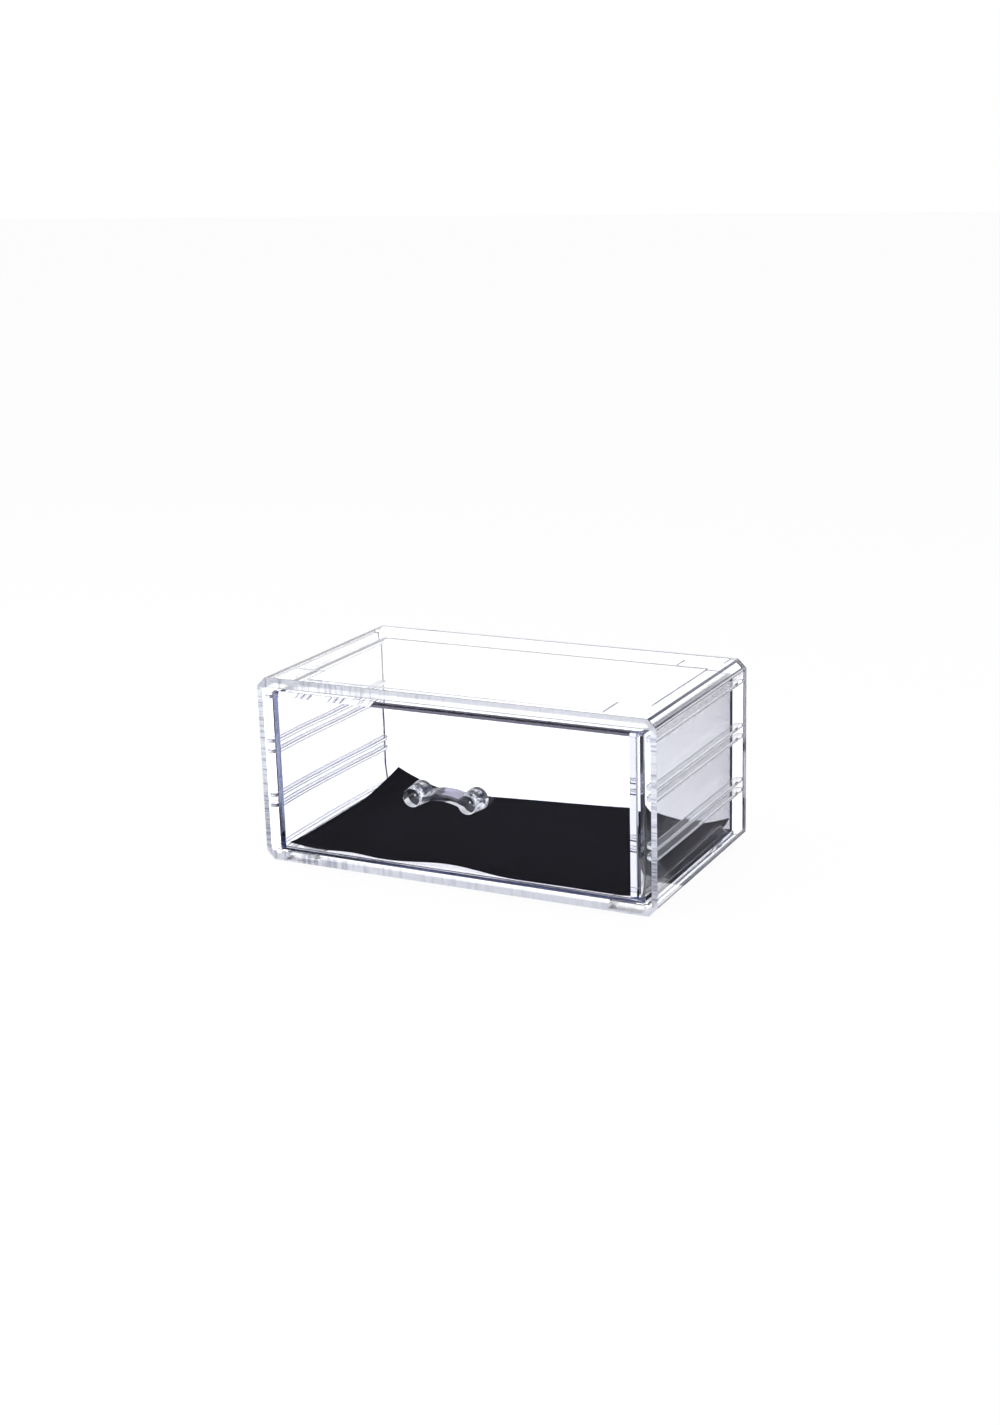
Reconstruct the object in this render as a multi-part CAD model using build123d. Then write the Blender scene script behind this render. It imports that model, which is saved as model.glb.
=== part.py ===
from build123d import *
from math import sqrt
import os

os.makedirs("parts", exist_ok=True)

# A clear, stackable vanity box with one tall drawer, in millimetres. +Z is up and the drawer
# opens towards -Y. The origin is under the middle of the whole object, on the plane that the
# feet stand on. The case is a bonded tube of four mouldings with a back panel; the drawer is
# a tray with a bevelled front, a pull handle and a loose black liner.

# Case
case_width = 240.0
case_depth = 132.0
case_height = 107.0  # from the underside of the bottom plate to the flat rim of the top
wall = 3.2
corner_leg = 5.0  # the 45 degree slope along each long edge
rail_height = 5.6  # front rails above and below the drawer, plate included
seam_drop = 7.4  # from the top or bottom plate's outer face to the seam in the side
tongue_height = 1.8  # the side panel's tongue, lapped behind the skirt of the plate
bond_gap = 0.05  # cement line between bonded pieces

# Runner ribs inside the case: the same case also takes a stack of shallow drawers
drawer_levels = 3
rib_reach = 4.3
rib_thickness = 2.2
rib_pair_gap = 6.1  # between the two ribs of a pair, centre to centre
rib_front_gap = 1.5  # from the case's front to the ribs' rounded ends
rib_end_radius = 3.6
rib_edge_radius = 0.5
ledge_width = 5.0  # strips of the bottom plate that the tray slides on

# Feet, and the raised field of the top that locates the feet of the unit above
foot_height = 2.2
foot_edge = 0.5
field_height = 0.8
field_half_width = 108.0
field_margin = 4.0  # rim left bare at the front and the back
pocket_length = 19.0  # along X, from the field's side edge inwards
front_pocket_depth = 19.0
rear_pocket_depth = 14.0
rear_tab_depth = 11.0  # raised tab behind each rear pocket
rear_tab_reach = 4.0  # how far the tab runs past the field's side edge
stack_play = 1.5  # between a foot and the pocket of the unit below

# Drawer
slide_gap = 0.3
tray_side_gap = 1.0  # to the tips of the ribs
tray_rear_gap = 0.8
tray_wall = 2.9
tray_floor = 2.0
tray_top_drop = 1.8  # below the top of the drawer front
tray_corner_radius = 3.4
tray_foot_radius = 1.0
tray_inside_radius = 1.5  # where the walls meet the floor
front_thickness = 3.2
front_bevel = 2.4
front_side_gap = 4.7
front_top_gap = 2.1
front_bottom_gap = 0.6

# Handle: two tapered posts and an arched web, on pegs through the drawer front
post_spacing = 33.3
post_length = 13.0
post_root_radius = 6.5
post_end_radius = 5.3
post_end_round = 0.6
web_length = 11.5
web_root_thickness = 5.6
web_end_thickness = 2.6
web_lift = 1.15  # of the web's middle, above the posts' centres
web_rise = 2.2  # of the arch, from a post's flank to the middle
peg_radius = 2.5
peg_clearance = 0.05
peg_short = 0.4  # from the peg's end to the front's inner face

# Liner: a thin black sheet, laid in the tray with its rear corners curled up
liner_thickness = 0.8
liner_rest_gap = 0.3  # the limp sheet lies not quite flat on the floor
liner_side_gap = 1.6
liner_front_gap = 1.2
liner_rear_gap = 2.2
curl_left = 11.0  # how high the left rear corner curls
curl_right = 5.0
curl_span = 34.0  # of a curl, from the corner to its crease
liner_mesh = 8.75  # about how far apart the points are that shape the sheet

# Derived places
base = foot_height
top = base + case_height
half = case_width / 2
inner_half = half - wall
front = (post_length - case_depth) / 2
back = front + case_depth
rail_top = base + rail_height
lintel = top - rail_height
level_pitch = (lintel - rail_top) / drawer_levels
drawer_front_back = front + front_thickness
rib_front = front + rib_front_gap
tray_half = inner_half - rib_reach - tray_side_gap
tray_front = drawer_front_back + bond_gap
tray_back = back - wall - tray_rear_gap
tray_bottom = rail_top + slide_gap
front_bottom = rail_top + front_bottom_gap
front_top = lintel - front_top_gap
tray_top = front_top - tray_top_drop
floor_level = tray_bottom + tray_floor
handle_level = (front_bottom + front_top) / 2
tongue_thickness = wall / 2


def block(x0, x1, y0, y1, z0, z1):
    """A box between two corners."""
    middle = Pos((x0 + x1) / 2, (y0 + y1) / 2, (z0 + z1) / 2)
    return middle * Box(x1 - x0, y1 - y0, z1 - z0)


def mirror_x(shape):
    """The same shape on the other side of the case."""
    return mirror(shape, about=Plane.YZ)


def section(inset):
    """The case's eight-sided cross-section, inset all round, as (x, z) corners."""
    x = half - inset
    low, high = base + inset, top - inset
    leg = corner_leg - inset * (2 - sqrt(2))
    right = [(x - leg, low), (x, low + leg), (x, high - leg), (x - leg, high)]
    return right + [(-px, pz) for px, pz in reversed(right)]


def along_depth(outline, y0, y1):
    """A solid with the same outline, of (x, z) corners, from y0 to y1."""
    wire = Polyline(*[(x, y0, z) for x, z in outline], close=True)
    return extrude(make_face(wire), amount=y1 - y0, dir=(0, 1, 0))


def case_tube():
    """The wall of the whole case, before it is divided into its mouldings."""
    return along_depth(section(0), front, back) - along_depth(section(wall), front, back)


def plate_moulding(low, high, seam, tongue_end, rail_low, rail_high):
    """A top or bottom plate: its share of the tube and a front rail, grooved for the tongues."""
    plate = case_tube() & block(-half, half, front, back, low, high)
    seat_in = inner_half - bond_gap
    seat_out = inner_half + tongue_thickness + bond_gap
    rail = along_depth(section(wall / 2), front, front + wall)
    rail = rail & block(-seat_in, seat_in, front, back, rail_low, rail_high)
    z0, z1 = sorted((seam, tongue_end))
    seat = block(seat_in, seat_out, front, back, z0, z1)
    return plate + rail - seat - mirror_x(seat)


def raised_field():
    """The raised part of the top, with a pocket at each corner for the feet above."""
    y0, y1 = front + field_margin, back - field_margin
    z0, z1 = top - wall / 2, top + field_height
    field = block(-field_half_width, field_half_width, y0, y1, z0, z1)
    for pocket_y0, pocket_y1 in pocket_ranges():
        pocket = block(pocket_start(), half, pocket_y0, pocket_y1, z0, z1)
        field = field - pocket - mirror_x(pocket)
    tab_end = field_half_width + rear_tab_reach
    tab = block(pocket_start(), tab_end, y1 - rear_tab_depth, y1, z0, z1)
    return field + tab + mirror_x(tab)


def pocket_start():
    """Where a corner pocket begins, counted from the middle."""
    return field_half_width - pocket_length


def pocket_ranges():
    """The front and rear pockets' extents in Y; the front one is open to the rim."""
    y0, y1 = front + field_margin, back - field_margin - rear_tab_depth
    return [(y0, y0 + front_pocket_depth), (y1 - rear_pocket_depth, y1)]


def feet():
    """Four flat feet, each in line with a pocket and smaller by the stacking play."""
    pads = []
    for y0, y1 in pocket_ranges():
        x0 = pocket_start() + stack_play
        x1 = field_half_width + stack_play
        pad = block(x0, x1, y0 + stack_play, y1 - stack_play, 0, base + wall / 2)
        pad = chamfer(pad.faces().sort_by(Axis.Z)[0].edges(), foot_edge)
        pads += [pad, mirror_x(pad)]
    return pads


def case_top():
    seam = top - seam_drop
    tongue_end = seam + tongue_height + bond_gap
    plate = plate_moulding(seam, top, seam, tongue_end, lintel, top - wall / 2)
    return plate + raised_field()


def case_bottom():
    """The bottom plate, with its front rail, the two ledges that carry the tray, and feet."""
    seam = base + seam_drop
    tongue_end = seam - tongue_height - bond_gap
    plate = plate_moulding(base, seam, seam, tongue_end, base + wall / 2, rail_top)
    ledge_back = back - wall - bond_gap
    ledge_z0 = base + wall / 2
    ledge = block(tray_half - ledge_width, tray_half, front + wall / 2, ledge_back, ledge_z0, rail_top)
    plate = plate + ledge + mirror_x(ledge)
    for pad in feet():
        plate = plate + pad
    return plate


def runner_rib(level):
    """A rib on the right side panel, rounded at both ends, centred at the given height."""
    tip = inner_half - rib_reach
    z0, z1 = level - rib_thickness / 2, level + rib_thickness / 2
    rib = block(tip, inner_half + wall / 2, rib_front, back - wall - bond_gap, z0, z1)
    ends = rib.edges().filter_by(Axis.Z).group_by(Axis.X)[0]
    rib = fillet(ends, rib_end_radius)
    tip_edges = rib.faces().sort_by(Axis.X)[0].edges().filter_by(Axis.Y)
    return fillet(tip_edges, rib_edge_radius)


def side_panel():
    """The right side: a flat panel with a tongue at top and bottom and the runner ribs."""
    seam_low, seam_high = base + seam_drop + bond_gap, top - seam_drop - bond_gap
    panel = block(inner_half, half, front, back, seam_low, seam_high)
    tongue_low = base + seam_drop - tongue_height
    tongue_high = top - seam_drop + tongue_height
    tongue_out = inner_half + tongue_thickness
    panel = panel + block(inner_half, tongue_out, front, back, tongue_low, tongue_high)
    for level in range(1, drawer_levels + 1):
        support = rail_top + level * level_pitch
        panel = panel + runner_rib(support - rib_pair_gap)
        if level < drawer_levels:
            panel = panel + runner_rib(support)
    return panel


def case_back():
    return along_depth(section(wall + bond_gap), back - wall, back)


def drawer_tray():
    """Floor, two sides and back in one moulding; its front edge is bonded to the drawer front."""
    shell = block(-tray_half, tray_half, tray_front, tray_back, tray_bottom, tray_top)
    rear = shell.faces().sort_by(Axis.Y)[-1]
    shell = fillet(rear.edges().filter_by(Axis.Z), tray_corner_radius)
    under = shell.faces().sort_by(Axis.Z)[0].edges()
    shell = fillet(under - under.group_by(Axis.Y)[0], tray_foot_radius)
    inside_half = tray_half - tray_wall
    inside_back = tray_back - tray_wall
    inside = block(-inside_half, inside_half, tray_front, inside_back, floor_level, tray_top)
    inner_rear = inside.faces().sort_by(Axis.Y)[-1].edges().filter_by(Axis.Z)
    inside = fillet(inner_rear, tray_corner_radius - tray_wall / 2)
    inner_foot = inside.faces().sort_by(Axis.Z)[0].edges()
    inside = fillet(inner_foot - inner_foot.group_by(Axis.Y)[0], tray_inside_radius)
    return shell - inside


def post_centres():
    return [-post_spacing / 2, post_spacing / 2]


def drawer_front():
    """The drawer's face: bevelled all round its front edge, with a hole for each peg."""
    width = inner_half - front_side_gap
    panel = block(-width, width, front, drawer_front_back, front_bottom, front_top)
    panel = chamfer(panel.faces().sort_by(Axis.Y)[0].edges(), front_bevel)
    for x in post_centres():
        hole = Cylinder(peg_radius + peg_clearance, 2 * front_thickness, rotation=(90, 0, 0))
        panel = panel - Pos(x, drawer_front_back, handle_level) * hole
    return panel


def web_section(y, thickness):
    """The arched web's outline at one depth, between the posts' centres."""
    reach = post_spacing / 2
    middle = handle_level + web_lift
    rise = web_rise * (reach / (reach - post_end_radius)) ** 2
    high, low = middle + thickness / 2, middle - thickness / 2
    upper = ThreePointArc((-reach, y, high - rise), (0, y, high), (reach, y, high - rise))
    lower = ThreePointArc((reach, y, low - rise), (0, y, low), (-reach, y, low - rise))
    ends = [Line(upper @ 1, lower @ 0), Line(lower @ 1, upper @ 0)]
    return make_face([upper, ends[0], lower, ends[1]])


def drawer_handle():
    """One moulding: drafted posts, an arched web between them, and a peg behind each post."""
    root = front - bond_gap
    web_end = web_section(front - web_length, web_end_thickness)
    handle = loft([web_section(root, web_root_thickness), web_end])
    for x in post_centres():
        post = Cone(post_root_radius, post_end_radius, post_length - bond_gap, rotation=(90, 0, 0))
        post = Pos(x, root - (post_length - bond_gap) / 2, handle_level) * post
        end_edge = post.edges().group_by(Axis.Y)[0]
        handle = handle + fillet(end_edge, post_end_round)
        peg_length = front_thickness + bond_gap - peg_short
        peg = Cylinder(peg_radius, peg_length, rotation=(90, 0, 0))
        handle = handle + Pos(x, root + peg_length / 2, handle_level) * peg
    return handle


def liner_height(x, y, half_width, y_back):
    """How far the sheet's underside is above the tray's floor: each rear corner curls up."""
    height = 0.0
    for side, curl in ((-1, curl_left), (1, curl_right)):
        from_corner = ((half_width - side * x) + (y_back - y)) / sqrt(2)
        past_crease = max(0.0, 1 - from_corner / curl_span)
        height += curl * past_crease**2
    return height


def drawer_liner():
    half_width = tray_half - tray_wall - liner_side_gap
    y0 = tray_front + liner_front_gap
    y1 = tray_back - tray_wall - liner_rear_gap
    underside = floor_level + liner_rest_gap
    columns = round(2 * half_width / liner_mesh) + 1
    rows = round((y1 - y0) / liner_mesh) + 1
    points = []
    for i in range(columns):
        x = half_width * (2 * i / (columns - 1) - 1)
        line = []
        for j in range(rows):
            y = y0 + (y1 - y0) * j / (rows - 1)
            line.append((x, y, underside + liner_height(x, y, half_width, y1)))
        points.append(line)
    grid = [[Vector(*point) for point in line] for line in points]
    sheet = Face.make_surface_from_array_of_points(grid)
    return thicken(sheet, amount=liner_thickness)


right_side = side_panel()
nodes = {
    "case_top": case_top(),
    "case_bottom": case_bottom(),
    "case_right_side": right_side,
    "case_left_side": mirror_x(right_side),
    "case_back": case_back(),
    "drawer_tray": drawer_tray(),
    "drawer_front": drawer_front(),
    "drawer_handle": drawer_handle(),
    "drawer_liner": drawer_liner(),
}
for name, shape in nodes.items():
    export_step(shape, f"parts/{name}.step")
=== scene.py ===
from math import cos, exp, pi, radians, sin

import bmesh
import bpy
from mathutils import Matrix, Vector, noise


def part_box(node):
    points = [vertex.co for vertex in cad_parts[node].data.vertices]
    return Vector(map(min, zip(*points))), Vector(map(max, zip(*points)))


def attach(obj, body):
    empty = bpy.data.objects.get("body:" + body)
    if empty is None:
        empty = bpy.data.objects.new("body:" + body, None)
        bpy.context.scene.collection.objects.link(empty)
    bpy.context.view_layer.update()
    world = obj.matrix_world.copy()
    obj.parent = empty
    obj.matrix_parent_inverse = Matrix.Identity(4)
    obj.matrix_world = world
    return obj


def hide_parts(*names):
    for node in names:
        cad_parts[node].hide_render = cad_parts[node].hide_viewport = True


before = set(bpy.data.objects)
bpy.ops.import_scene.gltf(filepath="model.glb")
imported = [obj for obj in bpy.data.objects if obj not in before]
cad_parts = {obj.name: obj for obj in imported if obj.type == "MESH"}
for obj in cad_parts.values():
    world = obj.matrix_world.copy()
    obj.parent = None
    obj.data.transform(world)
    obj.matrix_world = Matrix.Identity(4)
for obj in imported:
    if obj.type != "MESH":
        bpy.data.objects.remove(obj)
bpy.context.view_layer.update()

# A clear, stackable vanity box with one tall drawer and a limp black liner laid in it. The case
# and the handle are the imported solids. The drawer's tray and front, which are cemented into one
# clear moulding, and the liner are made here. Millimetres are written times MM, to give metres,
# or the comment beside them says that they are millimetres.
MM = 0.001

# The photograph's frame in pixels, and the camera fitted to the corners of the case
IMAGE_HEIGHT = 1425
FOCAL_PIXELS = 2052.549
SENSOR = 36.0  # millimetres along the photograph's height
CAMERA_AZIMUTH = radians(27.108)
CAMERA_ELEVATION = radians(15.883)
CAMERA_ROLL = radians(-1.621)
CAMERA_DISTANCE = 1161.835 * MM
CAMERA_TARGET = Vector((0.0, 8.5, 58.2)) * MM
CAMERA_ASIDE = Vector((3.647, -23.638)) * MM  # the target's place in the view, right and up
CLIP_NEAR = 0.01  # metres
CLIP_FAR = 100

# Studio, in metres and watts
WHITE = "#FFFFFF"
FLOOR_REACH = 8.0  # half the floor's side
FLOOR_SHOWN = 0.93  # strength of the floor's white for the camera, which the lamps bring to 1
FLOOR_SEEN = 2.0  # how bright the floor looks through the plastic
FLOOR_GUIDED = 1.4  # and how bright at the end of a ray that the plastic has guided
FLOOR_GREY = "#505050"  # what the floor scatters of the lamps' light, which shows the shadow
FLOOR_TINT = "#FCFCFF"
STRAIGHT_BELOW = 0.5  # reflections: a ray with fewer comes straight through the plastic
GUIDED_AFTER = 3.5  # reflections: a ray with more was guided by the plastic
CARD_X = 120 * MM  # a white card on the floor lies beyond this X, within CARD_HALF of CARD_Y
CARD_Y = -50 * MM
CARD_HALF = 45 * MM
# the tones round the set, each with how high it lies: the Z of the direction towards it
BACKDROP = ((0.16, "#FFFFFF"), (0.23, "#C7C9D5"), (0.29, "#3F4559"), (0.40, "#3F4559"),
            (0.52, "#D7D9E1"))
BACKDROP_RISE = 0.16  # how much higher the tones lie straight behind the set
WORLD_LIGHT = 0.55
SOFTBOX = 1.2  # side of the square
LAMP_AIM = Vector((0, 0, 0.05))
KEY_PLACE = (-0.7, -0.5, 1.48)
KEY_POWER = 13
KEY_COLOR = "#E2DEFF"  # cool, as its sheen along the top of the drawer front is
FILL_PLACE = (1.1, -0.7, 1.0)
FILL_POWER = 5

# Clear polystyrene
CLEAR = "#FDFDFE"
SHADOW_CLEAR = "#F7F7F9"  # the part of the lamps' light that the plastic lets into its shadow
CASE_TINT = "#C8CCD8"
DRAWER_TINT = "#B8BFD6"
POLYSTYRENE_IOR = 1.59
FLOW_DEPTH = 0.02 * MM
POLISH_PATCH = 18 * MM  # size of the patches that handling leaves duller
POLISH_PATCH_FROM = 0.45  # noise at which such a patch begins, and at which it is dullest
POLISH_PATCH_TO = 0.75
POLISH_HAZE = 0.03  # roughness of the dullest patch
RUB_HAZE = 0.012  # roughness that rubbing adds to the drawer's sides
RUB_WIDTH = 108.5 * MM  # they lie beyond this X
BEVEL_HAZE = 0.14  # roughness that milling leaves on the long bevels of the case
BEVEL_SLOPE = 0.2  # a bevel's normal has at least this product of its X and Z
SAW_HAZE = 0.3  # roughness that sawing leaves on the front edges of the case
SAW_Y = -59.4 * MM  # they lie before this Y
SAW_DEPTH = 0.3 * MM
# painted shade: the grey given to the saw strokes on the clear plastic
SAW_PAINTED_SHADE = "#8A92A6"
SAW_PAINTED_SHADE_FROM = 0.45  # noise at which a stroke's painted shade begins, and at which it is full
SAW_PAINTED_SHADE_TO = 0.66
PAINTED_SHADE_FADE_FROM = -120 * MM  # from this X to the next, the painted shade of the plates' strokes fades to the share below
PAINTED_SHADE_FADE_TO = 20 * MM
PAINTED_SHADE_FADE_SHARE = 0.25

# Foam-backed cloth
CLOTH_BLACK = "#040406"
CLOTH_FADED = "#101014"
DYE_PATCH = 30 * MM  # size of the patches of uneven dye
NAP = 0.7 * MM  # drawn coarser than the real 0.2 mm, so that it shows
NAP_DEPTH = 0.1 * MM

# Drawer moulding
TRAY_WALL = 2.9 * MM
TRAY_FLOOR = 2.0 * MM
TRAY_CORNER = 2.0 * MM  # outside radius of the rear corners
TRAY_FOOT = 0.6 * MM
INNER_LEFT_CORNER = 0.8 * MM  # radius inside, where the left side runs into the front
INNER_REAR_CORNER = 1.0 * MM
INNER_FOOT = 0.7 * MM
# the web inside, where the right side runs into the front: X and Y of its three edges, millimetres
WEB = ((104.2, -56.3), (106.9, -52.8), (108.6, -46.0))
WEB_BLANK = 3 * MM  # radius that makes those edges, before they are moved
WEB_AREA = (100 * MM, -50 * MM)  # they are made beyond this X and before this Y
FRONT_BEVEL = 2.4 * MM
FRONT_COLUMNS = 90
FRONT_ROWS = 38
SINK_DEPTH = 0.10 * MM
SINK_SIZE = (42 * MM, 30 * MM)  # along X and Z
SINK_SEED = 3.7
SINK_FADE = (8, 5)  # along X and Z: they fade over the last 1 / this of the way to the rim
PEG_HOLE = 2.55 * MM  # radius
PEG_X = 16.65 * MM
PEG_Z = 54.95 * MM
PEG_SEGMENTS = 40
OVERRUN = 1 * MM  # how far a solid that joins or cuts runs on into the other, or out of it
CUT_ABOVE = 5 * MM  # how far the tray's cutter rises above the front
HAIR = 1e-6  # metres: heights closer than this are the same
SHARP_PLASTIC = radians(22)  # an edge that turns more than this stays sharp

# Liner, in millimetres but for its thickness and lift
LINER_THICKNESS = 0.6 * MM
LINER_LIFT = 0.35 * MM  # of its underside, where it lies flat on the tray's floor
LINER_COLUMNS = 120
LINER_ROWS = 70
LINER_LEFT = -105.8
LINER_RIGHT = 108.2
LINER_REAR = 64.9
FLARE = 2.4  # how far the left edge runs out at FLARE_Y, to fade over FLARE_LENGTH behind it
FLARE_Y = -52
FLARE_LENGTH = 6
# the wavy front edge: its Y at each X, read from FRONT_EDGE_START on, FRONT_EDGE_SPAN wide
FRONT_EDGE = ((-109, -52.2), (-87, -54.6), (-68, -53.2), (-44, -55.4), (-8, -50.0), (40, -55.8),
              (98, -55.5), (102, -55.2), (109, -45.4))
FRONT_EDGE_START = -107.6
FRONT_EDGE_SPAN = 215.8
# the curled rear corners: how high they rise, and how far along X the curl reaches
LEFT_CURL = (11.5, 40.0)
RIGHT_CURL = (5.5, 30.0)
CURL_ALONG_Y = 0.8  # millimetres of that reach that one millimetre along Y takes
CURL_POWER = 1.6
CURL_PULL = 0.25  # the rising left corner comes in by this share of its height
RIPPLE = 0.25
RIPPLE_SIZE = (35, 28)  # along X and Y
RIPPLE_SEED = 9.1
SHARP_CLOTH = radians(40)

BOUNCES = 64  # a ray meets many faces before it leaves a box of clear plates


def srgb(text):
    """A colour written as sRGB hex, turned to linear red, green, blue and alpha."""
    channels = [int(text[i:i + 2], 16) / 255 for i in (1, 3, 5)]
    return [c / 12.92 if c <= 0.04045 else ((c + 0.055) / 1.055) ** 2.4 for c in channels] + [1.0]


def add(tree, kind, values=None, links=None, **settings):
    """Adds one node with its settings, the values of its sockets and the links into them."""
    made = tree.nodes.new(kind)
    for name, value in settings.items():
        setattr(made, name, value)
    for socket, value in (values or {}).items():
        made.inputs[socket].default_value = value
    for socket, source in (links or {}).items():
        tree.links.new(source, made.inputs[socket])
    return made


def new_material(name):
    """An empty material, its node tree and its output node."""
    made = bpy.data.materials.new(name)
    made.use_nodes = True
    tree = made.node_tree
    tree.nodes.clear()
    return made, tree, add(tree, "ShaderNodeOutputMaterial")


def link_object(name, data):
    """A new object of that data, in the scene."""
    made = bpy.data.objects.new(name, data)
    bpy.context.scene.collection.objects.link(made)
    return made


def camera():
    """The photograph's camera, as fitted to the corners of the case."""
    back = Vector((sin(CAMERA_AZIMUTH) * cos(CAMERA_ELEVATION),
                   -cos(CAMERA_AZIMUTH) * cos(CAMERA_ELEVATION),
                   sin(CAMERA_ELEVATION)))
    level_right = Vector((cos(CAMERA_AZIMUTH), sin(CAMERA_AZIMUTH), 0))
    level_up = back.cross(level_right)
    right = level_right * cos(CAMERA_ROLL) + level_up * sin(CAMERA_ROLL)
    up = back.cross(right)
    place = CAMERA_TARGET + back * CAMERA_DISTANCE - right * CAMERA_ASIDE.x - up * CAMERA_ASIDE.y
    lens = bpy.data.cameras.new("camera")
    lens.sensor_width = SENSOR
    lens.lens = FOCAL_PIXELS * SENSOR / IMAGE_HEIGHT
    lens.clip_start = CLIP_NEAR
    lens.clip_end = CLIP_FAR
    made = link_object("camera", lens)
    turn = Matrix((right, up, back)).transposed().to_4x4()
    made.matrix_world = Matrix.Translation(place) @ turn
    bpy.context.scene.camera = made


def seen_white(tree):
    """A socket that is 1 for rays that show the backdrop: from the camera, a mirror or glass."""
    path = add(tree, "ShaderNodeLightPath")
    mirrored = add(tree, "ShaderNodeMath", operation="MAXIMUM", links={
        0: path.outputs["Is Camera Ray"], 1: path.outputs["Is Glossy Ray"]})
    return add(tree, "ShaderNodeMath", operation="MAXIMUM", links={
        0: mirrored.outputs[0], 1: path.outputs["Is Transmission Ray"]}).outputs[0]


def studio_world():
    """A white backdrop, a slate belt above it that the clear plastic sees, and a pale ceiling."""
    world = bpy.data.worlds.new("studio")
    bpy.context.scene.world = world
    world.use_nodes = True
    tree = world.node_tree
    tree.nodes.clear()
    path = add(tree, "ShaderNodeLightPath")
    place = add(tree, "ShaderNodeTexCoord")
    way = add(tree, "ShaderNodeSeparateXYZ", links={0: place.outputs["Generated"]})
    behind = add(tree, "ShaderNodeMath", operation="MAXIMUM", values={1: 0.0}, links={
        0: way.outputs["Y"]})
    height = add(tree, "ShaderNodeMath", operation="MULTIPLY_ADD", values={1: -BACKDROP_RISE}, links={
        0: behind.outputs[0], 2: way.outputs["Z"]})
    sky = add(tree, "ShaderNodeValToRGB", links={"Fac": height.outputs[0]})
    stops = sky.color_ramp.elements
    for stop, (position, color) in zip((stops[0], stops[1]), (BACKDROP[0], BACKDROP[-1])):
        stop.position = position
        stop.color = srgb(color)
    for position, color in BACKDROP[1:-1]:
        stops.new(position).color = srgb(color)
    shown = add(tree, "ShaderNodeMix", data_type="RGBA", values={"B": srgb(WHITE)}, links={
        "Factor": path.outputs["Is Camera Ray"], "A": sky.outputs["Color"]})
    seen = add(tree, "ShaderNodeBackground", values={"Strength": 1.0}, links={
        "Color": shown.outputs["Result"]})
    lit = add(tree, "ShaderNodeBackground", values={"Color": srgb(WHITE), "Strength": WORLD_LIGHT})
    mixed = add(tree, "ShaderNodeMixShader", links={
        0: seen_white(tree), 1: lit.outputs[0], 2: seen.outputs[0]})
    add(tree, "ShaderNodeOutputWorld", links={"Surface": mixed.outputs[0]})


def soft_lamp(name, place, power, color=WHITE, mirrored=False):
    """A square softbox that faces the middle of the object; mirrored ones show in the plastic."""
    data = bpy.data.lights.new(name, "AREA")
    data.size = SOFTBOX
    data.energy = power
    data.color = srgb(color)[:3]
    made = link_object(name, data)
    made.location = place
    aim = LAMP_AIM - Vector(place)
    made.rotation_euler = aim.to_track_quat("-Z", "Y").to_euler()
    made.visible_glossy = mirrored
    made.visible_transmission = mirrored


def floor_glare(tree, path):
    """A socket with the floor's brightness for rays that the plastic bends or mirrors.
    It is bright straight through the plastic, and after many reflections. Glare that one to three
    faces throw back is cut, as a polarising filter on the lens cuts it, but what they throw to
    the right meets a white card there."""
    place = add(tree, "ShaderNodeTexCoord")
    way = add(tree, "ShaderNodeSeparateXYZ", links={0: place.outputs["Object"]})
    to_right = add(tree, "ShaderNodeMath", operation="GREATER_THAN", values={1: CARD_X}, links={
        0: way.outputs["X"]})
    in_front = add(tree, "ShaderNodeMath", operation="COMPARE", values={1: CARD_Y, 2: CARD_HALF}, links={
        0: way.outputs["Y"]})
    card = add(tree, "ShaderNodeMath", operation="MULTIPLY", links={
        0: to_right.outputs[0], 1: in_front.outputs[0]})
    straight = add(tree, "ShaderNodeMath", operation="LESS_THAN", values={1: STRAIGHT_BELOW}, links={
        0: path.outputs["Glossy Depth"]})
    guided = add(tree, "ShaderNodeMath", operation="GREATER_THAN", values={1: GUIDED_AFTER}, links={
        0: path.outputs["Glossy Depth"]})
    clear_view = add(tree, "ShaderNodeMath", operation="MULTIPLY", values={1: FLOOR_SEEN}, links={
        0: straight.outputs[0]})
    lit = add(tree, "ShaderNodeMath", operation="MAXIMUM", links={
        0: guided.outputs[0], 1: card.outputs[0]})
    shone = add(tree, "ShaderNodeMath", operation="MULTIPLY", values={1: FLOOR_GUIDED}, links={
        0: lit.outputs[0]})
    return add(tree, "ShaderNodeMath", operation="MAXIMUM", links={
        0: shone.outputs[0], 1: clear_view.outputs[0]}).outputs[0]


def floor_material():
    """Matt white paper, white to the camera, with the object's soft shadow on it."""
    made, tree, output = new_material("studio_floor")
    dull = add(tree, "ShaderNodeBsdfDiffuse", values={"Color": srgb(FLOOR_GREY)})
    path = add(tree, "ShaderNodeLightPath")
    bright = add(tree, "ShaderNodeMix", data_type="FLOAT", values={"B": FLOOR_SHOWN}, links={
        "Factor": path.outputs["Is Camera Ray"], "A": floor_glare(tree, path)})
    strength = add(tree, "ShaderNodeMath", operation="MULTIPLY", links={
        0: seen_white(tree), 1: bright.outputs["Result"]})
    hue = add(tree, "ShaderNodeMix", data_type="RGBA", values={
        "A": srgb(FLOOR_TINT), "B": srgb(WHITE)}, links={"Factor": path.outputs["Is Camera Ray"]})
    glow = add(tree, "ShaderNodeEmission", links={
        "Color": hue.outputs["Result"], "Strength": strength.outputs[0]})
    both = add(tree, "ShaderNodeAddShader", links={0: dull.outputs[0], 1: glow.outputs[0]})
    tree.links.new(both.outputs[0], output.inputs["Surface"])
    return made


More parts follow.
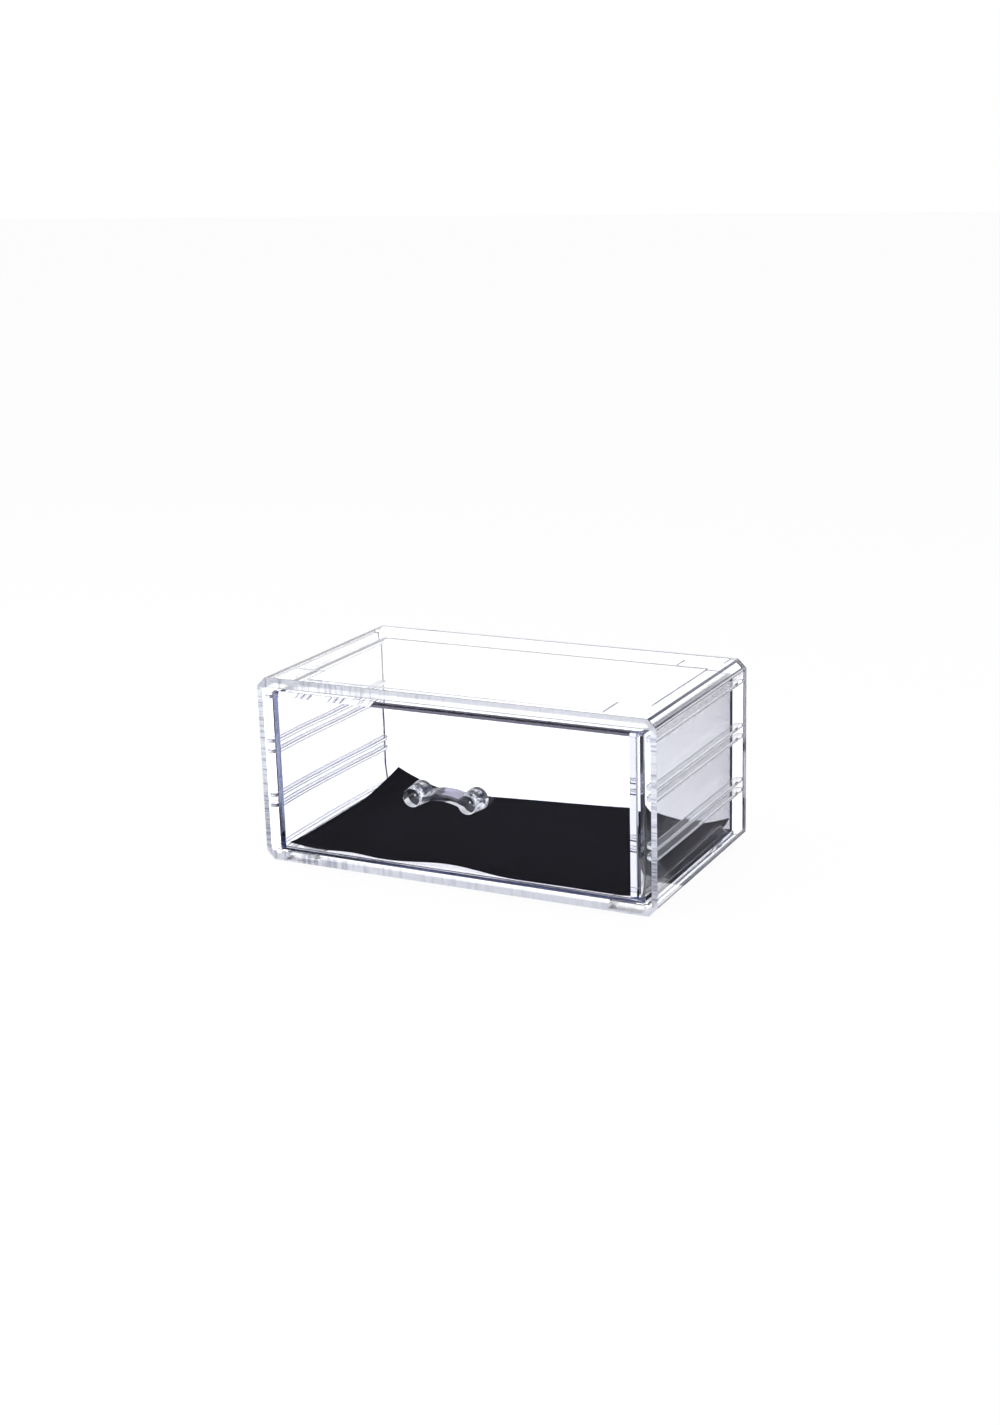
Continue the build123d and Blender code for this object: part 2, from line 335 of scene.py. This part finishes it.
def floor():
    """The floor, a stage for the object and no part of it."""
    mesh = bpy.data.meshes.new("floor")
    corners = [(x * FLOOR_REACH, y * FLOOR_REACH, 0) for x, y in ((-1, -1), (1, -1), (1, 1), (-1, 1))]
    mesh.from_pydata(corners, [], [(0, 1, 2, 3)])
    made = link_object("floor", mesh)
    mesh.materials.append(floor_material())


def clear_polystyrene(name, flow, seed, tint, density):
    """Injection-moulded clear polystyrene. It shows what lies behind it, bent a little by the flow
    marks of the moulding, and glints at its faces. Light that runs far inside it takes on its
    tint, so its edges look blue-grey. flow is the size of the flow marks along X, Y and Z in
    millimetres. Returns the material, its node tree and the plastic's shader."""
    made, tree, output = new_material(name)
    place = add(tree, "ShaderNodeTexCoord")
    scaled = add(tree, "ShaderNodeMapping", values={
        "Location": (seed, 0, 0), "Scale": [1 / (f * MM) for f in flow]}, links={
        "Vector": place.outputs["Object"]})
    marks = add(tree, "ShaderNodeTexNoise", values={"Scale": 1.0, "Detail": 1.0}, links={
        "Vector": scaled.outputs[0]})
    relief = add(tree, "ShaderNodeBump", values={"Strength": 1.0, "Distance": FLOW_DEPTH}, links={
        "Height": marks.outputs["Fac"]})
    # handling leaves the polish a little uneven
    polish = add(tree, "ShaderNodeTexNoise", values={"Scale": 1 / POLISH_PATCH, "Detail": 3.0}, links={
        "Vector": place.outputs["Object"]})
    rough = add(tree, "ShaderNodeMapRange", values={
        "From Min": POLISH_PATCH_FROM, "From Max": POLISH_PATCH_TO, "To Min": 0.0,
        "To Max": POLISH_HAZE}, links={"Value": polish.outputs["Fac"]})
    plastic = add(tree, "ShaderNodeBsdfPrincipled", values={
        "Base Color": srgb(CLEAR), "IOR": POLYSTYRENE_IOR, "Transmission Weight": 1.0}, links={
        "Roughness": rough.outputs[0], "Normal": relief.outputs[0]})
    path = add(tree, "ShaderNodeLightPath")
    open_to_lamps = add(tree, "ShaderNodeBsdfTransparent", values={"Color": srgb(SHADOW_CLEAR)})
    mixed = add(tree, "ShaderNodeMixShader", links={
        0: path.outputs["Is Shadow Ray"], 1: plastic.outputs[0], 2: open_to_lamps.outputs[0]})
    tree.links.new(mixed.outputs[0], output.inputs["Surface"])
    body = add(tree, "ShaderNodeVolumeAbsorption", values={"Color": srgb(tint), "Density": density})
    tree.links.new(body.outputs[0], output.inputs["Volume"])
    return made, tree, plastic


def dull_where(tree, plastic, mask, haze):
    """Adds haze to the plastic's roughness where the mask node gives 1."""
    rough = plastic.inputs["Roughness"]
    more = add(tree, "ShaderNodeMath", operation="MULTIPLY_ADD", values={1: haze}, links={
        0: mask.outputs[0], 2: rough.links[0].from_socket})
    tree.links.new(more.outputs[0], rough)


def mill_bevels(tree, plastic):
    """The milled long bevels are polished less than the faces, which softens their reflections."""
    place = add(tree, "ShaderNodeTexCoord")
    facing = add(tree, "ShaderNodeSeparateXYZ", links={0: place.outputs["Normal"]})
    slope = add(tree, "ShaderNodeMath", operation="MULTIPLY", links={
        0: facing.outputs["X"], 1: facing.outputs["Z"]})
    steep = add(tree, "ShaderNodeMath", operation="ABSOLUTE", links={0: slope.outputs[0]})
    milled = add(tree, "ShaderNodeMath", operation="GREATER_THAN", values={1: BEVEL_SLOPE}, links={
        0: steep.outputs[0]})
    dull_where(tree, plastic, milled, BEVEL_HAZE)


def saw_front(tree, plastic, strokes, painted_shade_fades=False):
    """The front edges are frosted as the saw leaves them, with strokes across the wall, and the strokes
    are greyed with painted shade. strokes is the size of a stroke along X, Y and Z in millimetres, as
    wide as the photograph shows it and longer than the wall is thick. Where asked, the painted shade
    fades to the right."""
    place = add(tree, "ShaderNodeTexCoord")
    way = add(tree, "ShaderNodeSeparateXYZ", links={0: place.outputs["Object"]})
    front = add(tree, "ShaderNodeMath", operation="LESS_THAN", values={1: SAW_Y}, links={
        0: way.outputs["Y"]})
    dull_where(tree, plastic, front, SAW_HAZE)
    across = add(tree, "ShaderNodeMapping", values={"Scale": [1 / (s * MM) for s in strokes]}, links={
        "Vector": place.outputs["Object"]})
    grain = add(tree, "ShaderNodeTexNoise", values={"Scale": 1.0, "Detail": 2.0}, links={
        "Vector": across.outputs[0]})
    cut = add(tree, "ShaderNodeMath", operation="MULTIPLY", links={
        0: grain.outputs["Fac"], 1: front.outputs[0]})
    normal = plastic.inputs["Normal"]
    relief = add(tree, "ShaderNodeBump", values={"Strength": 1.0, "Distance": SAW_DEPTH}, links={
        "Height": cut.outputs[0], "Normal": normal.links[0].from_socket})
    tree.links.new(relief.outputs[0], normal)
    # painted shade in the saw strokes, full where the stroke noise is high
    shade = add(tree, "ShaderNodeMapRange", values={
        "From Min": SAW_PAINTED_SHADE_FROM, "From Max": SAW_PAINTED_SHADE_TO, "To Min": 0.0, "To Max": 1.0}, links={
        "Value": cut.outputs[0]})
    # the painted shade fades from left to right
    if painted_shade_fades:
        shade_fade = add(tree, "ShaderNodeMapRange", values={
            "From Min": PAINTED_SHADE_FADE_FROM, "From Max": PAINTED_SHADE_FADE_TO, "To Min": 1.0, "To Max": PAINTED_SHADE_FADE_SHARE}, links={
            "Value": way.outputs["X"]})
        shade = add(tree, "ShaderNodeMath", operation="MULTIPLY", links={
            0: shade.outputs[0], 1: shade_fade.outputs[0]})
    # the clear plastic, greyed by the painted shade in the strokes
    color = add(tree, "ShaderNodeMix", data_type="RGBA", values={
        "A": srgb(CLEAR), "B": srgb(SAW_PAINTED_SHADE)}, links={"Factor": shade.outputs[0]})
    tree.links.new(color.outputs["Result"], plastic.inputs["Base Color"])


def plate_material():
    """The case's top, bottom and back, whose saw strokes stand upright along the front, with their
    painted shade fading to the right.
    """
    made, tree, plastic = clear_polystyrene(
        "clear_polystyrene_plates", flow=(60, 25, 60), seed=1.3, tint=CASE_TINT, density=4.5)
    mill_bevels(tree, plastic)
    saw_front(tree, plastic, strokes=(2.5, 17, 17), painted_shade_fades=True)
    return made


def side_material():
    """The case's side panels, whose saw strokes lie level across the front edge."""
    made, tree, plastic = clear_polystyrene(
        "clear_polystyrene_sides", flow=(60, 90, 16), seed=4.7, tint=CASE_TINT, density=4.5)
    mill_bevels(tree, plastic)
    saw_front(tree, plastic, strokes=(17, 17, 0.9))
    return made


def drawer_material():
    """The drawer, a deeper blue, with a haze on the sides, which rub on the runners."""
    made, tree, plastic = clear_polystyrene(
        "clear_polystyrene_drawer", flow=(45, 60, 30), seed=8.1, tint=DRAWER_TINT, density=36.0)
    place = add(tree, "ShaderNodeTexCoord")
    way = add(tree, "ShaderNodeSeparateXYZ", links={0: place.outputs["Object"]})
    aside = add(tree, "ShaderNodeMath", operation="ABSOLUTE", links={0: way.outputs["X"]})
    rubbed = add(tree, "ShaderNodeMath", operation="GREATER_THAN", values={1: RUB_WIDTH}, links={
        0: aside.outputs[0]})
    dull_where(tree, plastic, rubbed, RUB_HAZE)
    return made


def handle_material():
    """The handle, small and thick, so its flow marks lie close."""
    return clear_polystyrene(
        "clear_polystyrene_handle", flow=(9, 9, 9), seed=2.9, tint=CASE_TINT, density=7.0)[0]


def liner_material():
    """Black foam-backed cloth, woven and brushed to a short, soft nap. The nap takes up the light,
    so it is dull and nearly black, and its dye is a little uneven."""
    made, tree, output = new_material("black_liner")
    place = add(tree, "ShaderNodeTexCoord")
    nap = add(tree, "ShaderNodeTexNoise", values={"Scale": 1 / NAP, "Detail": 2.0}, links={
        "Vector": place.outputs["Object"]})
    shade = add(tree, "ShaderNodeTexNoise", values={"Scale": 1 / DYE_PATCH, "Detail": 3.0}, links={
        "Vector": place.outputs["Object"]})
    color = add(tree, "ShaderNodeMix", data_type="RGBA", values={
        "A": srgb(CLOTH_BLACK), "B": srgb(CLOTH_FADED)}, links={"Factor": shade.outputs["Fac"]})
    relief = add(tree, "ShaderNodeBump", values={"Strength": 0.5, "Distance": NAP_DEPTH}, links={
        "Height": nap.outputs["Fac"]})
    cloth = add(tree, "ShaderNodeBsdfPrincipled", values={
        "Roughness": 0.85, "Specular IOR Level": 0.12}, links={
        "Base Color": color.outputs["Result"], "Normal": relief.outputs[0]})
    tree.links.new(cloth.outputs[0], output.inputs["Surface"])
    return made


def finished_mesh(obj):
    """Gives the object its mesh with the modifiers applied, in place of the old one."""
    graph = bpy.context.evaluated_depsgraph_get()
    mesh = bpy.data.meshes.new_from_object(obj.evaluated_get(graph))
    obj.modifiers.clear()
    obj.data = mesh


def block(low, high):
    """A box between two corners, as mesh work."""
    work = bmesh.new()
    bmesh.ops.create_cube(work, size=1.0)
    for vertex in work.verts:
        vertex.co = Vector([l + (h - l) * (c + 0.5) for l, h, c in zip(low, high, vertex.co)])
    return work


def upright(start, end):
    """Whether an edge between two corners of a block runs upwards."""
    return abs(start.z - end.z) > 1 * MM


def round_edges(work, radius, steps, chosen):
    """Rounds the edges for which chosen(start, end) is true."""
    edges = [e for e in work.edges if chosen(e.verts[0].co, e.verts[1].co)]
    bmesh.ops.bevel(work, geom=edges, offset=radius, segments=steps, profile=0.5, affect="EDGES")


def as_object(name, work):
    """The mesh work as an object, with its faces turned outwards."""
    mesh = bpy.data.meshes.new(name)
    bmesh.ops.recalc_face_normals(work, faces=work.faces[:])
    work.to_mesh(mesh)
    work.free()
    return link_object(name, mesh)


def peg_cutter(x, y0, y1):
    """A cylinder along Y at the height of the handle's pegs."""
    work = bmesh.new()
    turn = Matrix.Translation((x, (y0 + y1) / 2, PEG_Z)) @ Matrix.Rotation(pi / 2, 4, "X")
    bmesh.ops.create_cone(work, cap_ends=True, segments=PEG_SEGMENTS, radius1=PEG_HOLE,
                          radius2=PEG_HOLE, depth=y1 - y0, matrix=turn)
    return as_object("peg_hole", work)


def combine(target, tool, operation):
    """Joins or cuts target with tool, and removes tool."""
    step = target.modifiers.new("step", "BOOLEAN")
    step.operation = operation
    step.solver = "EXACT"
    step.object = tool
    finished_mesh(target)
    bpy.data.objects.remove(tool)


def sink(x, z):
    """How far the moulded front's face strays from flat there, because it cooled unevenly."""
    return SINK_DEPTH * noise.noise(Vector((x / SINK_SIZE[0], z / SINK_SIZE[1], SINK_SEED)))


def drawer_face(half_width, z0, z1, y_face, y_back):
    """The drawer's front plate, bevelled towards its face at y_face, which is slightly wavy.
    s and t run from -1 to 1, across the face and up it."""
    work = bmesh.new()
    middle = (z0 + z1) / 2
    half_height = (z1 - z0) / 2
    inner_x = half_width - FRONT_BEVEL
    inner_z = half_height - FRONT_BEVEL
    grid = []
    for i in range(FRONT_COLUMNS + 1):
        column = []
        for j in range(FRONT_ROWS + 1):
            s = 2 * i / FRONT_COLUMNS - 1
            t = 2 * j / FRONT_ROWS - 1
            x = inner_x * s
            z = middle + inner_z * t
            fade = min(1, SINK_FADE[0] * (1 - abs(s))) * min(1, SINK_FADE[1] * (1 - abs(t)))
            column.append(work.verts.new((x, y_face + fade * sink(x, z), z)))
        grid.append(column)
    for i in range(FRONT_COLUMNS):
        for j in range(FRONT_ROWS):
            work.faces.new((grid[i][j], grid[i + 1][j], grid[i + 1][j + 1], grid[i][j + 1]))
    rim = [grid[i][0] for i in range(FRONT_COLUMNS)]
    rim += [grid[FRONT_COLUMNS][j] for j in range(FRONT_ROWS)]
    rim += [grid[i][FRONT_ROWS] for i in range(FRONT_COLUMNS, 0, -1)]
    rim += [grid[0][j] for j in range(FRONT_ROWS, 0, -1)]
    rings = [rim]
    for y in (y_face + FRONT_BEVEL, y_back):
        ring = []
        for vertex in rim:
            x = vertex.co.x * half_width / inner_x
            z = middle + (vertex.co.z - middle) * half_height / inner_z
            ring.append(work.verts.new((x, y, z)))
        rings.append(ring)
    for first, second in zip(rings, rings[1:]):
        for k in range(len(rim)):
            n = (k + 1) % len(rim)
            work.faces.new((first[k], first[n], second[n], second[k]))
    work.faces.new(rings[-1])
    return as_object("drawer_moulding", work)


def tray_outside(low, high):
    """The tray's outside, rounded at its rear corners and along its foot."""
    work = block(low, high)
    round_edges(work, TRAY_CORNER, steps=8, chosen=lambda a, b: (
        upright(a, b) and min(a.y, b.y) > 0))
    round_edges(work, TRAY_FOOT, steps=4, chosen=lambda a, b: (
        max(a.z, b.z) < low[2] + HAIR and max(a.y, b.y) > 0))
    return as_object("tray_outside", work)


def tray_inside(low, high):
    """The room inside the tray, with its corners rounded and a web at the front right."""
    work = block(low, high)
    round_edges(work, INNER_REAR_CORNER, steps=8, chosen=lambda a, b: (
        upright(a, b) and min(a.y, b.y) > 0))
    round_edges(work, INNER_LEFT_CORNER, steps=6, chosen=lambda a, b: (
        upright(a, b) and max(a.y, b.y) < 0 and a.x < 0))
    round_edges(work, WEB_BLANK, steps=2, chosen=lambda a, b: (
        upright(a, b) and max(a.y, b.y) < 0 and a.x > 0))
    # the corner's three edges, two ends each, in order from the front to the side
    corner = [v for v in work.verts if v.co.x > WEB_AREA[0] and v.co.y < WEB_AREA[1]]
    for k, vertex in enumerate(sorted(corner, key=lambda v: v.co.y)):
        vertex.co.x = WEB[k // 2][0] * MM
        vertex.co.y = WEB[k // 2][1] * MM
    round_edges(work, INNER_FOOT, steps=5, chosen=lambda a, b: max(a.z, b.z) < low[2] + HAIR)
    return as_object("tray_inside", work)


def drawer_moulding():
    """The tray and its bevelled front as the one clear piece that cementing makes of them."""
    tray_low, tray_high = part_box("drawer_tray")
    front_low, front_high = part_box("drawer_front")
    body = drawer_face(front_high.x, front_low.z, front_high.z, front_low.y, front_high.y)
    outside = tray_outside((tray_low.x, front_high.y - OVERRUN, tray_low.z), tray_high)
    combine(body, outside, "UNION")
    inside = tray_inside(
        (tray_low.x + TRAY_WALL, front_high.y, tray_low.z + TRAY_FLOOR),
        (tray_high.x - TRAY_WALL, tray_high.y - TRAY_WALL, front_high.z + CUT_ABOVE))
    combine(body, inside, "DIFFERENCE")
    for side in (-1, 1):
        hole = peg_cutter(side * PEG_X, front_low.y - OVERRUN, front_high.y + OVERRUN)
        combine(body, hole, "DIFFERENCE")
    body.data.shade_smooth()
    body.data.set_sharp_from_angle(angle=SHARP_PLASTIC)
    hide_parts("drawer_tray", "drawer_front")
    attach(body, "drawer")
    return body


def front_edge(x):
    """The Y of the liner's front edge at x, on a smooth line through the points of FRONT_EDGE."""
    for (x0, y0), (x1, y1) in zip(FRONT_EDGE, FRONT_EDGE[1:]):
        if x <= x1:
            t = (x - x0) / (x1 - x0)
            return y0 + (y1 - y0) * (1 - cos(pi * t)) / 2
    return FRONT_EDGE[-1][1]


def liner_place(u, v, level):
    """A point of the limp sheet's middle layer, u from left to right and v from front to back,
    from 0 to 1. level is the height of that layer where the sheet lies flat."""
    front = front_edge(FRONT_EDGE_START + FRONT_EDGE_SPAN * u)
    y = front + (LINER_REAR - front) * v
    left = LINER_LEFT - FLARE * exp(-(y - FLARE_Y) / FLARE_LENGTH)
    x = left + (LINER_RIGHT - left) * u
    lift = 0.0
    for corner_x, (height, reach) in ((left, LEFT_CURL), (LINER_RIGHT, RIGHT_CURL)):
        away = abs(x - corner_x) + CURL_ALONG_Y * (LINER_REAR - y)
        curl = height * max(0.0, 1 - away / reach) ** CURL_POWER
        lift += curl
        if corner_x < 0:
            x += CURL_PULL * curl
    ripple = RIPPLE * (1 + noise.noise(Vector((x / RIPPLE_SIZE[0], y / RIPPLE_SIZE[1], RIPPLE_SEED))))
    return Vector((x, y, level / MM + lift + ripple)) * MM


def drawer_liner():
    """The limp sheet that lies loose on the tray's floor, with its rear corners curled up."""
    work = bmesh.new()
    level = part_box("drawer_tray")[0].z + TRAY_FLOOR + LINER_LIFT + LINER_THICKNESS / 2
    grid = []
    for i in range(LINER_COLUMNS + 1):
        places = [liner_place(i / LINER_COLUMNS, j / LINER_ROWS, level) for j in range(LINER_ROWS + 1)]
        grid.append([work.verts.new(place) for place in places])
    for i in range(LINER_COLUMNS):
        for j in range(LINER_ROWS):
            work.faces.new((grid[i][j], grid[i + 1][j], grid[i + 1][j + 1], grid[i][j + 1]))
    sheet = as_object("liner_sheet", work)
    thick = sheet.modifiers.new("thickness", "SOLIDIFY")
    thick.thickness = LINER_THICKNESS
    thick.offset = 0
    finished_mesh(sheet)
    sheet.data.shade_smooth()
    sheet.data.set_sharp_from_angle(angle=SHARP_CLOTH)
    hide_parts("drawer_liner")
    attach(sheet, "drawer")
    return sheet


studio_world()
camera()
floor()
soft_lamp("key_lamp", KEY_PLACE, KEY_POWER, KEY_COLOR, mirrored=True)
soft_lamp("fill_lamp", FILL_PLACE, FILL_POWER)
black = liner_material()
plates = plate_material()
sides = side_material()
moulding = drawer_material()
looks = {"case_left_side": sides, "case_right_side": sides, "drawer_handle": handle_material(),
         "drawer_tray": moulding, "drawer_front": moulding, "drawer_liner": black}
drawer_moulding().data.materials.append(moulding)
drawer_liner().data.materials.append(black)
for name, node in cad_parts.items():
    node.data.materials.clear()
    node.data.materials.append(looks.get(name, plates))
bpy.context.scene.view_settings.view_transform = "Standard"
bpy.context.scene.cycles.max_bounces = BOUNCES
bpy.context.scene.cycles.transmission_bounces = BOUNCES
bpy.context.scene.cycles.glossy_bounces = BOUNCES
